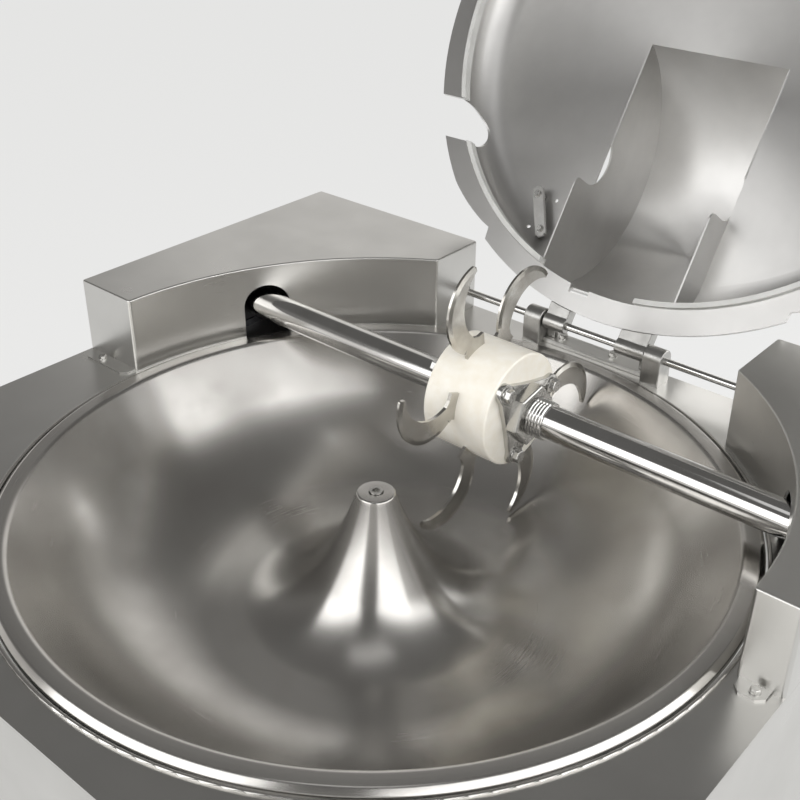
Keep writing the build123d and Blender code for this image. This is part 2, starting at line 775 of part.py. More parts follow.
# ---------------------------------------------------------------- knives
# A sickle between two arcs, drawn with its tip along local +Y; the convex back leads.
back_centre = (5.0, knife_reach - 68.0)
back_radius = 68.0
belly_centre = (34.0, knife_reach - 64.0)
belly_radius = 63.0
back_end = 240.0
belly_end = 224.0
tip_back = 92.0
tip_belly = 118.0
heel_x = 10.0
heel_top = 102.0
tongue_floor = hub_radius - tongue_depth
back_root_x = back_centre[0] + back_radius * cos(radians(back_end))


def knife_outline():
    """Closed outline of one knife from its rounded tip to the square tongue in the hub."""
    tip_a = around(back_centre, back_radius, tip_back)
    tip_b = around(belly_centre, belly_radius, tip_belly)
    back_root = around(back_centre, back_radius, back_end)
    belly_root = around(belly_centre, belly_radius, belly_end)
    with BuildSketch(mode=Mode.PRIVATE) as outline:
        with BuildLine():
            CenterArc(back_centre, back_radius, tip_back, back_end - tip_back)
            Polyline(
                back_root,
                (back_root[0], tongue_floor),
                (heel_x, tongue_floor),
                (heel_x, heel_top),
                (heel_x - 11, heel_top - 0.5),
                belly_root,
            )
            CenterArc(belly_centre, belly_radius, tip_belly, belly_end - tip_belly)
            Line(tip_b, tip_a)
        make_face()
        fillet(outline.vertices().sort_by_distance(tip_a)[0], 3)
    return outline.sketch


def knife_plane(index):
    """Middle plane of a knife: its tip direction is local +Y, the shaft's axis its origin."""
    angle = radians(knife_first_angle + index * 360 / knife_count - 90)
    return Plane(
        origin=(knife_first_x + index * knife_pitch, shaft_y, shaft_z),
        x_dir=(0, cos(angle), sin(angle)),
        z_dir=(1, 0, 0),
    )


outline = knife_outline()
bevel_start = radians(tip_back)
bevel_plane = Plane(
    origin=(back_centre[0], back_centre[1], 0),
    x_dir=(cos(bevel_start), sin(bevel_start), 0),
    z_dir=(sin(bevel_start), -cos(bevel_start), 0),
)
bevel_axis = Axis((back_centre[0], back_centre[1], 0), (0, 0, 1))
for i in range(knife_count):
    with BuildPart() as knife:
        extrude(Plane.XY.offset(-knife_thickness / 2) * outline, amount=knife_thickness)
        # ground bevel along the back, a cone round the back's own centre
        with BuildSketch(bevel_plane):
            Polygon(
                (back_radius - knife_bevel_width, knife_thickness / 2),
                (back_radius + 1, knife_thickness / 2),
                (back_radius + 1, knife_thickness / 2 - knife_bevel),
                align=None,
            )
        revolve(axis=bevel_axis, revolution_arc=back_end - tip_back - 4, mode=Mode.SUBTRACT)
    keep(knife_plane(i) * knife.part, f"knife_blade_{i + 1}")

# ---------------------------------------------------------------- hub, clamp flanges, nut and bolts
bolt_radius = 6.0
with BuildPart() as hub:
    with BuildSketch(across(hub_left)):
        Circle(hub_radius)
        Circle(hub_seat_radius, mode=Mode.SUBTRACT)
        with PolarLocations(bolt_circle_radius, hub_bolt_count, start_angle=bolt_first_angle):
            Circle(bolt_radius, mode=Mode.SUBTRACT)
    extrude(amount=hub_right - hub_left)
    fillet(hub.edges().filter_by(GeomType.CIRCLE).sort_by(SortBy.RADIUS)[-2:], 3)
    for i in range(knife_count):
        with BuildSketch(knife_plane(i).offset(-knife_thickness / 2)):
            with Locations(((back_root_x + heel_x) / 2, (tongue_floor + hub_radius + 20) / 2)):
                Rectangle(heel_x - back_root_x, hub_radius + 20 - tongue_floor)
        extrude(amount=knife_thickness, mode=Mode.SUBTRACT)
keep(hub.part, "knife_hub")


# clamp flange: three broad arms round a boss, one under each through bolt
with BuildPart() as flange:
    with BuildSketch(across(hub_right)) as flange_face_sketch:
        Circle(flange_boss_radius)
        with PolarLocations(flange_arm_length / 2, hub_bolt_count, start_angle=bolt_first_angle):
            Rectangle(flange_arm_length, flange_arm_width)
        fillet(flange_face_sketch.vertices(), 5)
        Circle(hub_seat_radius, mode=Mode.SUBTRACT)
        with PolarLocations(bolt_circle_radius, hub_bolt_count, start_angle=bolt_first_angle):
            Circle(bolt_radius, mode=Mode.SUBTRACT)
    extrude(amount=flange_thickness)
keep(flange.part, "clamp_flange")

with BuildPart() as ring_nut:
    with BuildSketch(across(flange_face)):
        RegularPolygon(ring_nut_flats / 2, 6, major_radius=False, rotation=12)
        Circle(thread_radius, mode=Mode.SUBTRACT)
    extrude(amount=ring_nut_width)
    chamfer(ring_nut.faces().sort_by(Axis.X)[-1].outer_wire().edges(), 2)
keep(ring_nut.part, "ring_nut")

bolt_span = flange_face - hub_left
with BuildPart() as hub_bolts:
    for i in range(hub_bolt_count):
        angle = radians(bolt_first_angle + i * 360 / hub_bolt_count)
        y = shaft_y + bolt_circle_radius * cos(angle)
        z = shaft_z + bolt_circle_radius * sin(angle)
        head_plane = across(flange_face, y, z)
        nut_plane = Plane(origin=(hub_left, y, z), x_dir=(0, -1, 0), z_dir=(-1, 0, 0))
        add(head_plane * hex_bolt(18, 8, bolt_radius, bolt_span, 11.5, 2.5))
        add(nut_plane * hex_bolt(18, 10, bolt_radius, 1, 11.5, 2.5))
keep(hub_bolts.part, "hub_bolts")

# ---------------------------------------------------------------- belt drive
def belt_places(centre_x):
    return [centre_x + (i - (belt_count - 1) / 2) * belt_pitch for i in range(belt_count)]


def pulley(section, axis, centre_x, rim_radius, bore):
    """Grooved pulley: the belts' tops lie level with its rim."""
    groove_floor = rim_radius - belt_depth - 1
    with BuildPart(mode=Mode.PRIVATE) as wheel:
        with BuildSketch(section):
            with Locations((centre_x, (rim_radius + bore) / 2)):
                Rectangle(pulley_width, rim_radius - bore)
            for x in belt_places(centre_x):
                Polygon(
                    (x - belt_top / 2 - side_gap, rim_radius + 1),
                    (x - belt_top / 2 - side_gap, rim_radius),
                    (x - belt_bottom / 2 - side_gap, groove_floor),
                    (x + belt_bottom / 2 + side_gap, groove_floor),
                    (x + belt_top / 2 + side_gap, rim_radius),
                    (x + belt_top / 2 + side_gap, rim_radius + 1),
                    align=None,
                    mode=Mode.SUBTRACT,
                )
        revolve(axis=axis)
    return wheel.part


keep(pulley(shaft_section, shaft_axis, -pulley_centre_x, knife_pulley_radius, pulley_seat_radius),
     "knife_pulley")

motor_shaft_end = -motor_left + motor_shaft_reach
with BuildPart() as motor_pulley:
    add(pulley(motor_section, motor_axis, -pulley_centre_x, motor_pulley_radius, motor_shaft_radius))
    revolve(turned(motor_section, [(shaft_left, motor_shaft_end, motor_shaft_radius)]), axis=motor_axis)
keep(motor_pulley.part, "motor_pulley")

# Belts: straight runs between the pulleys joined by arcs in the grooves.
drive_y = motor_y - shaft_y
drive_z = motor_z - shaft_z
drive_length = sqrt(drive_y**2 + drive_z**2)
drive_lean = degrees(asin(drive_y / drive_length)) - 90  # from +Y, towards the motor
wrap_lean = degrees(asin((motor_pulley_radius - knife_pulley_radius) / drive_length))
small = knife_pulley_radius - belt_depth / 2
large = motor_pulley_radius - belt_depth / 2
motor_centre = (drive_y, drive_z)
belt_crown = radians(drive_lean + 180)
with BuildPart() as belts:
    for x in belt_places(-pulley_centre_x):
        side_a = drive_lean + 90 + wrap_lean
        side_b = drive_lean - 90 - wrap_lean
        with BuildLine(across(x)) as loop:
            CenterArc((0, 0), small, drive_lean + 180, 90 - wrap_lean)
            Line(around((0, 0), small, side_b), around(motor_centre, large, side_b))
            CenterArc(motor_centre, large, side_b, 180 + 2 * wrap_lean)
            Line(around(motor_centre, large, side_a), around((0, 0), small, side_a))
            CenterArc((0, 0), small, side_a, 90 - wrap_lean)
        with BuildSketch(
            Plane(
                origin=across(x).from_local_coords((small * cos(belt_crown), small * sin(belt_crown), 0)),
                x_dir=(0, cos(belt_crown), sin(belt_crown)),
                z_dir=(0, -sin(belt_crown), cos(belt_crown)),
            )
        ):
            Polygon(
                (belt_depth / 2, -belt_top / 2),
                (belt_depth / 2, belt_top / 2),
                (-belt_depth / 2, belt_bottom / 2),
                (-belt_depth / 2, -belt_bottom / 2),
                align=None,
            )
        sweep(path=loop.wire())
keep(belts.part, "drive_belts")

# ---------------------------------------------------------------- knife motor
motor_seat = foot_height + tube_side + motor_rail_height
motor_right = -motor_left + motor_length
with BuildPart() as knife_motor:
    revolve(
        turned(
            motor_section,
            [
                (-motor_left, -motor_left + 30, motor_radius - 24),
                (-motor_left + 30, -motor_left + 55, motor_radius),
                (-motor_left + 55, motor_right - 80, motor_radius - motor_fin),
                (motor_right - 80, motor_right, motor_radius - 2),
            ],
        ),
        axis=motor_axis,
    )
    with BuildSketch(across(-motor_left + 50, motor_y, motor_z)):
        with PolarLocations(motor_radius - motor_fin, motor_fin_count):
            Rectangle(2 * motor_fin - 4, 3)
    extrude(amount=motor_length - 135)
    for side in (-1, 1):
        y = motor_y + side * motor_foot_y
        with BuildSketch(across(-motor_left + 60, y, motor_seat)):
            with Locations((0, motor_foot_thickness / 2)):
                Rectangle(motor_foot_width, motor_foot_thickness)
            with Locations((-side * motor_foot_width / 4, motor_foot_thickness + 25)):
                Rectangle(16, 52)
        extrude(amount=motor_length - 150)
    with BuildSketch(Plane.XY.offset(motor_z + motor_radius - motor_fin - 4)):
        with Locations((-motor_left + 150, motor_y)):
            RectangleRounded(110, 96, 10)
    extrude(amount=46)
    with BuildSketch(across(-motor_left, motor_y, motor_z)):
        Circle(motor_shaft_radius + running_gap)
    extrude(amount=motor_shaft_reach + 1, mode=Mode.SUBTRACT)
    with BuildSketch(across(motor_right, motor_y, motor_z)):
        with PolarLocations(62, 16):
            SlotOverall(70, 8)
    extrude(amount=-4, mode=Mode.SUBTRACT)
keep(knife_motor.part, "knife_motor")

with BuildPart() as motor_rails:
    for side in (-1, 1):
        with Locations((sum(motor_beams) / 2, motor_y + side * motor_foot_y, motor_seat)):
            Box(
                motor_beams[1] - motor_beams[0] + tube_side,
                motor_foot_width,
                motor_rail_height,
                align=(Align.CENTER, Align.CENTER, Align.MAX),
            )
keep(motor_rails.part, "motor_rails")

# ---------------------------------------------------------------- hinge on the deck
plate_left = left_bracket_x + bracket_width
with BuildPart() as base_plate:
    with BuildSketch(Plane.XY.offset(deck_top)):
        with Locations(((plate_left + right_bracket_x) / 2, (plate_front + cabinet_back) / 2)):
            Rectangle(right_bracket_x - plate_left, cabinet_back - plate_front)
        with Locations(*[(x, plate_bolt_y) for x in plate_bolt_x]):
            Circle(plate_bolt_radius, mode=Mode.SUBTRACT)
    extrude(amount=plate_thickness)
    chamfer(base_plate.faces().sort_by(Axis.Z)[-1].outer_wire().edges(), 0.8)
keep(base_plate.part, "hinge_base_plate")

with BuildPart() as plate_bolts:
    for x in plate_bolt_x:
        add(Pos(x, plate_bolt_y, deck_top + plate_thickness)
            * hex_bolt(13, 5.5, plate_bolt_radius, plate_thickness + sheet, 8, 1.6))
keep(plate_bolts.part, "hinge_plate_bolts")


def hinge_bracket(x):
    """Cast upright with a round head, bored for the rod; x is its left face."""
    with BuildPart(mode=Mode.PRIVATE) as bracket:
        with BuildSketch(across(x, hinge_y, hinge_z)):
            Circle(bracket_depth / 2)
            with Locations((0, (deck_top - hinge_z) / 2)):
                Rectangle(bracket_depth, hinge_z - deck_top)
            Circle(rod_radius + running_gap, mode=Mode.SUBTRACT)
        extrude(amount=bracket_width)
        round_edges = bracket.edges().filter_by(GeomType.CIRCLE).sort_by(SortBy.RADIUS)[-2:]
        fillet(round_edges, 2)
    return bracket.part


keep(hinge_bracket(left_bracket_x), "left_hinge_bracket")
keep(hinge_bracket(right_bracket_x), "right_hinge_bracket")

# ---------------------------------------------------------------- lid
# Drawn closed, round the bowl's axis, then turned back about the hinge to rest open.
flange_top = lid_flange_rise + lid_flange
knuckle_centre = (lid_inner_radius - knuckle_radius, roof_rise - knuckle_radius)
hood_ends = (-hood_left - sheet, hood_right + sheet)  # over both partitions


def open_lid(part, label):
    keep(part.rotate(hinge_axis, -open_angle), label)


def lid_profile(wall, bottom):
    """Half section of the lid's dome from its axis to the skirt, wall outside the inner face."""
    knuckle = knuckle_radius + wall
    side = knuckle_centre[0] + knuckle
    with BuildSketch(rim_section, mode=Mode.PRIVATE) as half:
        with BuildLine():
            Polyline((0, roof_rise + wall), (0, bottom), (side, bottom), (side, knuckle_centre[1]))
            CenterArc(knuckle_centre, knuckle, 0, 90)
            Line((knuckle_centre[0], roof_rise + wall), (0, roof_rise + wall))
        make_face()
    return half.sketch


def hood_face(x, radius):
    """Half disc of the hood above the flange's top."""
    with BuildSketch(across(x), mode=Mode.PRIVATE) as half:
        Circle(radius)
        with Locations((0, flange_top - shaft_rise - radius)):
            Rectangle(2 * radius, 2 * radius, mode=Mode.SUBTRACT)
    return half.sketch


def shaft_notch(radius, rise, x, length):
    """Slot for the shaft, round at the top and open downwards."""
    with BuildSketch(across(x), mode=Mode.PRIVATE) as slot:
        with Locations((0, rise)):
            Circle(radius)
        with Locations((0, rise - shaft_rise)):
            Rectangle(2 * radius, 2 * shaft_rise)
    return extrude(slot.sketch, amount=length)


with BuildPart() as cavity:
    revolve(lid_profile(0, lid_flange_rise - 1), axis=Axis.Z)
    extrude(hood_face(hood_ends[0], hood_radius), amount=hood_ends[1] - hood_ends[0])

def flange_relief(side, flat_x):
    """Corner of the flange that the top edge of a housing's concave wall would meet as the lid swings."""
    start = flat_x - relief_gap
    steps = 7
    points = []
    for i in range(steps + 1):
        x = start + i * (relief_end - start) / steps
        wall_y = sqrt(well_radius**2 - max(x, flat_x) ** 2)
        swing = sqrt((hinge_y - wall_y) ** 2 + (housing_rise - hinge_rise) ** 2)
        points.append((side * x, hinge_y - swing - relief_gap))
    points.append((side * relief_end, hinge_y))
    points.append((side * (start - 12), hinge_y))
    return points


with BuildPart() as lid:
    revolve(lid_profile(sheet, flange_top), axis=Axis.Z)
    with BuildSketch(Plane.XY.offset(rim_z + lid_flange_rise)):
        Circle(lid_radius)
        for side, flat_x in ((-1, left_flat_x), (1, right_flat_x)):
            Polygon(*flange_relief(side, flat_x), align=None, mode=Mode.SUBTRACT)
    extrude(amount=lid_flange)
    extrude(hood_face(hood_ends[0], hood_radius + sheet), amount=hood_ends[1] - hood_ends[0])
    add(cavity.part, mode=Mode.SUBTRACT)
    for x in (-lid_radius, lid_radius - shaft_notch_span):
        add(shaft_notch(shaft_notch_radius, 0, x, shaft_notch_span), mode=Mode.SUBTRACT)
    with Locations((drain_x, drain_y, rim_z + lid_flange_rise)):
        Box(drain_width, drain_depth, 2 * lid_flange, mode=Mode.SUBTRACT)
    for side in (-1, 1):
        turn = radians(bar_turn)
        hole = (bar_x - side * bar_bolt_y * sin(turn), bar_y + side * bar_bolt_y * cos(turn))
        with Locations((hole[0], hole[1], rim_z + roof_rise)):
            Cylinder(bar_bolt_radius, 40, mode=Mode.SUBTRACT)
open_lid(lid.part, "lid_shell")

with BuildPart() as gasket:
    lip_outer = lid_inner_radius - gasket_groove
    ring(Plane.XY.offset(rim_z + flange_top), lip_outer - gasket_wall, lid_inner_radius, -gasket_root)
    ring(Plane.XY.offset(rim_z + flange_top), lip_outer - gasket_wall, lip_outer, -lid_flange - gasket_drop)
    for x in (-lid_radius, lid_radius - shaft_notch_span):
        add(shaft_notch(shaft_notch_radius, 0, x, shaft_notch_span), mode=Mode.SUBTRACT)
    with Locations((hood_ends[0], 0, rim_z)):
        Box(
            gasket_start - hood_ends[0],
            lid_radius,
            lid_radius,
            align=(Align.MIN, Align.MIN, Align.CENTER),
            mode=Mode.SUBTRACT,
        )
open_lid(gasket.part, "lid_gasket")

# each partition closes the hood's end and, behind the shaft, reaches down to the flange's underside
for x, label in ((hood_ends[0], "left_lid_partition"), (hood_right, "right_lid_partition")):
    with BuildPart() as partition:
        with Locations((x, partition_front, rim_z + lid_flange_rise)):
            Box(sheet, lid_radius, lid_radius, align=(Align.MIN, Align.MIN, Align.MIN))
        add(cavity.part, mode=Mode.INTERSECT)
        ring(Plane.XY.offset(rim_z + flange_top), lip_outer - gasket_wall, lid_radius, -lid_flange,
             Mode.SUBTRACT)
        with Locations((x, shaft_y, rim_z + roof_rise)):
            Box(sheet, lid_radius, lid_radius, align=(Align.MIN, Align.MAX, Align.MAX), mode=Mode.SUBTRACT)
        add(shaft_notch(partition_notch_radius, partition_notch_rise, x, sheet), mode=Mode.SUBTRACT)
        corner = partition.edges().filter_by(Axis.X).sort_by_distance(
            (x, shaft_y + partition_notch_radius, rim_z + lid_flange_rise))[0]
        fillet(corner, 12)
    open_lid(partition.part, label)

with BuildPart() as rod:
    with BuildSketch(across(rod_left, hinge_y, hinge_z)):
        Circle(rod_radius)
    extrude(amount=rod_right - rod_left)
    chamfer(rod.edges(), 1)
keep(rod.part, "hinge_rod")

# lugs: a boss on the rod, a foot on the flange, a heel that stops the open lid on the base plate
heel_length = hinge_z - deck_top - plate_thickness
with BuildPart() as lugs:
    for x, width in (
        (left_bracket_x + bracket_width + lug_gap, left_lug_width),
        (right_bracket_x - lug_gap - right_lug_width, right_lug_width),
    ):
        with BuildSketch(across(x, hinge_y, hinge_z)):
            Circle(lug_radius)
            with Locations((-lug_foot_reach / 2, (lid_flange_rise - hinge_rise + lug_radius) / 2)):
                Rectangle(lug_foot_reach, lug_radius - lid_flange_rise + hinge_rise)
            Circle(rod_radius, mode=Mode.SUBTRACT)
        extrude(amount=width)
    with BuildSketch(Plane.XY.offset(rim_z + lid_flange_rise)):
        Circle(lid_radius)
    extrude(amount=lid_flange, mode=Mode.SUBTRACT)
    for x in (
        left_bracket_x + bracket_width + lug_gap,
        right_bracket_x - lug_gap - heel_width,
    ):
        with BuildSketch(across(x, hinge_y, hinge_z)):
            with Locations(Rotation(0, 0, open_angle)):
                with Locations((rod_radius + heel_thickness / 2, -heel_length / 2)):
                    Rectangle(heel_thickness, heel_length)
        extrude(amount=heel_width)
open_lid(lugs.part, "lid_hinge_lugs")

bar_plane = Pos(bar_x, bar_y, rim_z + roof_rise - bar_drop) * Rot(0, 0, bar_turn)
bar_bolts_at = [(0, -bar_bolt_y), (0, bar_bolt_y)]
with BuildPart() as bar:
    with BuildSketch(Plane(bar_plane)):
        RectangleRounded(bar_width, bar_length, 3)
    extrude(amount=-bar_thickness)
    with BuildSketch(Plane(bar_plane)):
        with Locations(*bar_bolts_at):
            Circle(bar_spacer_radius)
    extrude(amount=bar_drop + sheet)
    add(lid.part, mode=Mode.SUBTRACT)
    with BuildSketch(Plane(bar_plane).offset(-bar_thickness)):
        with Locations(*bar_bolts_at):
            Circle(bar_bolt_radius)
    extrude(amount=bar_thickness + bar_drop + sheet, mode=Mode.SUBTRACT)
open_lid(bar.part.solids().sort_by(SortBy.VOLUME)[-1], "scraper_bar")

with BuildPart() as bar_bolts:
    for _, y in bar_bolts_at:
        add(bar_plane * Pos(0, y, -bar_thickness) * Rot(180, 0, 0)
            * hex_bolt(10, 4.5, bar_bolt_radius, bar_thickness + bar_drop + sheet, 7, 1))
open_lid(bar_bolts.part, "scraper_bolts")

with BuildPart() as handle:
    with BuildLine() as handle_line:
        Polyline(
            (-handle_span / 2, handle_y, rim_z + roof_rise + sheet),
            (-handle_span / 2, handle_y, rim_z + roof_rise + sheet + handle_rise),
            (handle_span / 2, handle_y, rim_z + roof_rise + sheet + handle_rise),
            (handle_span / 2, handle_y, rim_z + roof_rise + sheet),
        )
        fillet(handle_line.vertices().group_by(Axis.Z)[-1], 18)
    with BuildSketch(Plane(origin=handle_line.line @ 0, z_dir=(0, 0, 1))):
        Circle(handle_radius)
    sweep()
    with Locations(
        (-handle_span / 2, handle_y, rim_z + roof_rise + sheet),
        (handle_span / 2, handle_y, rim_z + roof_rise + sheet),
    ):
        Cylinder(15, 4, align=(Align.CENTER, Align.CENTER, Align.MIN))
open_lid(handle.part, "lid_handle")

# ---------------------------------------------------------------- control panel and buttons
buttons = (
    ("knife_start_button", -65.0, -28.0, button_cap_radius),
    ("knife_stop_button", -25.0, -28.0, button_cap_radius),
    ("bowl_start_button", 25.0, -28.0, button_cap_radius),
    ("bowl_stop_button", 65.0, -28.0, button_cap_radius),
    ("emergency_stop", 0.0, 32.0, stop_cap_radius),
)
button_places = [(x, y) for _, x, y, _ in buttons]
with BuildPart() as panel:
    with BuildSketch(panel_face):
        RectangleRounded(panel_width, panel_height, 10)
    extrude(amount=panel_thickness)
    chamfer(panel.faces().sort_by(Axis.Y)[0].edges(), 1)
    with BuildSketch(panel_face.offset(panel_thickness)):
        for name, x, y, cap in buttons:
            with Locations((x, y)):
                Circle(cap + 3.5)
                Circle(cap + side_gap, mode=Mode.SUBTRACT)
    extrude(amount=3)
    with BuildSketch(panel_face):
        with Locations(*button_places):
            Circle(button_stem_radius + running_gap)
    extrude(amount=panel_thickness, mode=Mode.SUBTRACT)
keep(panel.part, "control_panel")

for name, x, y, cap in buttons:
    cap_back = panel_face.offset(panel_thickness + button_travel + side_gap)
    with BuildPart() as button:
        with BuildSketch(cap_back):
            with Locations((x, y)):
                Circle(cap)
        extrude(amount=cap * 0.6)
        fillet(button.faces().sort_by(Axis.Y)[0].edges(), cap * 0.22)
        with BuildSketch(cap_back):
            with Locations((x, y)):
                Circle(button_stem_radius)
        extrude(amount=-button_stem_length)
    keep(button.part, name)
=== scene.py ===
import bpy
import bmesh
from math import asin, cos, degrees, pi, radians, sin, sqrt
from mathutils import Matrix, Vector


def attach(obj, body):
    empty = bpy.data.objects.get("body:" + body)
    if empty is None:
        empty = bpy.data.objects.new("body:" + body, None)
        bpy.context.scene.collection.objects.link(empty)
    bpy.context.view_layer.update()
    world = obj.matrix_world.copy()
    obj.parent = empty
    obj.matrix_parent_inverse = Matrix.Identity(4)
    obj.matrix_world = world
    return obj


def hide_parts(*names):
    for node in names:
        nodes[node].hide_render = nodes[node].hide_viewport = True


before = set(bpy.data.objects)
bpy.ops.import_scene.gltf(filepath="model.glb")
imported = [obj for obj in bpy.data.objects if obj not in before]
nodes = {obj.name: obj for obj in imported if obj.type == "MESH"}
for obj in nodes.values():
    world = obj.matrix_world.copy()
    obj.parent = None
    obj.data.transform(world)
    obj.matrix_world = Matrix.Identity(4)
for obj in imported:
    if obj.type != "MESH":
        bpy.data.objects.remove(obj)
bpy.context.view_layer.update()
print("frame loaded:", len(nodes), "nodes")

mm = 0.001
rimLevel = 0.95
shaftLine = Vector((0, 0.2375, 0.994))  # a point on the knife shaft's axis, which runs along X
hingeLine = Vector((0, 0.5225, 0.9807))  # a point on the hinge rod's axis, also along X
lidSwing = radians(124)  # from closed to the open rest position

cameraFit = {
    "place": (0.84264, -0.93417, 1.82620),
    "right": (0.75658766, 0.65386834, 0.00559579),
    "up": (-0.3337264, 0.37876559, 0.86322843),
    "forward": (-0.56231824, 0.65497544, -0.5047825),
    "lens": 51.89,
    "sensor": 36,
}
cameraData = bpy.data.cameras.new("camera")
cameraData.lens = cameraFit["lens"]
cameraData.sensor_width = cameraFit["sensor"]
camera = bpy.data.objects.new("camera", cameraData)
bpy.context.scene.collection.objects.link(camera)
backward = [-c for c in cameraFit["forward"]]
aim = Matrix((cameraFit["right"], cameraFit["up"], backward)).transposed()
camera.matrix_world = Matrix.Translation(cameraFit["place"]) @ aim.to_4x4()
bpy.context.scene.camera = camera


def hexColour(code):
    parts = [int(code[i:i + 2], 16) / 255 for i in (1, 3, 5)]
    return [c / 12.92 if c <= 0.04045 else ((c + 0.055) / 1.055) ** 2.4 for c in parts] + [1]


# a settings key that names or numbers a socket sets that socket, any other key sets the node itself
def addNode(tree, kind, settings=None, links=None):
    node = tree.nodes.new(kind)
    for key, value in (settings or {}).items():
        if isinstance(key, int) or key in node.inputs:
            node.inputs[key].default_value = value
        else:
            setattr(node, key, value)
    for key, source in (links or {}).items():
        tree.links.new(source, node.inputs[key])
    return node


def joinPiece(name, mesh, body, finish, replaced):
    piece = bpy.data.objects.new(name, mesh)
    bpy.context.scene.collection.objects.link(piece)
    mesh.materials.append(finish)
    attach(piece, body)
    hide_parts(replaced)
    return piece


# studio: pale floor, and a room that is pale low down, grey at the sides and darker overhead;
# heights are the sine of the angle above the horizon, and the patch is a pale part of the room
studio = {
    "floorHex": "#F2F2F1",
    "floorGlow": 0.84,
    "floorHalf": 14,
    "roomHex": "#FFFDFA",
    "low": 0.88,
    "side": 0.21,
    "sideFrom": 0.13,
    "sideTo": 0.40,
    "overhead": 0.14,
    "overheadFrom": 0.50,
    "overheadTo": 0.68,
    "patch": 0.85,
    "patchWay": (-0.52, 0.78, 0.35),
    "patchFrom": 0.89,  # cosine of the angle from the patch's middle to its outer and inner edge
    "patchTo": 0.98,
}
half = studio["floorHalf"]
floorMesh = bpy.data.meshes.new("floor")
floorMesh.from_pydata([(-half, -half, 0), (half, -half, 0), (half, half, 0), (-half, half, 0)], [], [(0, 1, 2, 3)])
floor = bpy.data.objects.new("floor", floorMesh)
bpy.context.scene.collection.objects.link(floor)

paper = bpy.data.materials.new("seamlessPaper")  # matt white studio paper: no shine, keeps the shadow
paper.use_nodes = True
tree = paper.node_tree
tree.nodes.clear()
seen = addNode(tree, "ShaderNodeLightPath")
lookedAt = addNode(tree, "ShaderNodeMath", {"operation": "MAXIMUM"},
                   {0: seen.outputs["Is Camera Ray"], 1: seen.outputs["Is Glossy Ray"]})
lookedAt = addNode(tree, "ShaderNodeMath", {"operation": "MAXIMUM"},
                   {0: lookedAt.outputs[0], 1: seen.outputs["Is Transmission Ray"]})
share = addNode(tree, "ShaderNodeMath", {"operation": "MULTIPLY", 1: studio["floorGlow"]},
                {0: lookedAt.outputs[0]})
matt = addNode(tree, "ShaderNodeBsdfDiffuse", {"Color": hexColour(studio["floorHex"])})
glow = addNode(tree, "ShaderNodeEmission", {"Color": hexColour(studio["floorHex"])})
both = addNode(tree, "ShaderNodeMixShader", links={0: share.outputs[0], 1: matt.outputs[0], 2: glow.outputs[0]})
addNode(tree, "ShaderNodeOutputMaterial", links={"Surface": both.outputs[0]})
floorMesh.materials.append(paper)

world = bpy.data.worlds.new("room")
bpy.context.scene.world = world
world.use_nodes = True
tree = world.node_tree
tree.nodes.clear()
way = addNode(tree, "ShaderNodeTexCoord").outputs["Generated"]
height = addNode(tree, "ShaderNodeSeparateXYZ", links={0: way}).outputs["Z"]
level = addNode(tree, "ShaderNodeMapRange", {
    "interpolation_type": "SMOOTHSTEP", "From Min": studio["sideFrom"], "From Max": studio["sideTo"],
    "To Min": studio["low"], "To Max": studio["side"]}, {"Value": height}).outputs[0]
facing = addNode(tree, "ShaderNodeVectorMath", {
    "operation": "DOT_PRODUCT", 1: Vector(studio["patchWay"]).normalized()}, {0: way})
near = addNode(tree, "ShaderNodeMapRange", {
    "interpolation_type": "SMOOTHSTEP", "From Min": studio["patchFrom"], "From Max": studio["patchTo"]},
    {"Value": facing.outputs["Value"]})
level = addNode(tree, "ShaderNodeMix", {"data_type": "FLOAT", "B": studio["patch"]},
                {"Factor": near.outputs[0], "A": level}).outputs[0]
above = addNode(tree, "ShaderNodeMapRange", {
    "interpolation_type": "SMOOTHSTEP", "From Min": studio["overheadFrom"], "From Max": studio["overheadTo"]},
    {"Value": height})
level = addNode(tree, "ShaderNodeMix", {"data_type": "FLOAT", "B": studio["overhead"]},
                {"Factor": above.outputs[0], "A": level}).outputs[0]
shade = addNode(tree, "ShaderNodeBackground", {"Color": hexColour(studio["roomHex"])}, {"Strength": level})
addNode(tree, "ShaderNodeOutputWorld", links={"Surface": shade.outputs[0]})

# way: degrees round from +X, then degrees up, seen from the bowl's rim
softBoxes = {
    "frontBox": {"way": (-105, 28), "away": 3.2, "size": (3.0, 2.1), "radiance": 2.4},
    "rightBox": {"way": (-4, 30), "away": 3.2, "size": (4.8, 1.8), "radiance": 2.4},
    "farRightBox": {"way": (62, 18), "away": 3.2, "size": (3.3, 1.3), "radiance": 2.8},
    "topBox": {"way": (-78, 84), "away": 2.9, "size": (1.2, 0.9), "radiance": 0.7},
    "fillBox": {"way": (-80, 66), "away": 3.0, "size": (2.6, 2.0), "radiance": 1.5, "unseen": True},
}
for name, box in softBoxes.items():
    lamp = bpy.data.lights.new(name, "AREA")
    lamp.shape = "RECTANGLE"
    lamp.size, lamp.size_y = box["size"]
    lamp.energy = box["radiance"] * pi * box["size"][0] * box["size"][1]
    holder = bpy.data.objects.new(name, lamp)
    bpy.context.scene.collection.objects.link(holder)
    turn, lift = (radians(a) for a in box["way"])
    arm = Vector((cos(turn) * cos(lift), sin(turn) * cos(lift), sin(lift)))
    holder.location = Vector((0, 0, rimLevel)) + arm * box["away"]
    holder.rotation_euler = (-arm).to_track_quat("-Z", "Y").to_euler()
    holder.visible_camera = False
    holder.visible_glossy = not box.get("unseen")  # the fill lifts matt surfaces and leaves the metal alone
bpy.context.scene.view_settings.view_transform = "Standard"
print("studio ready")

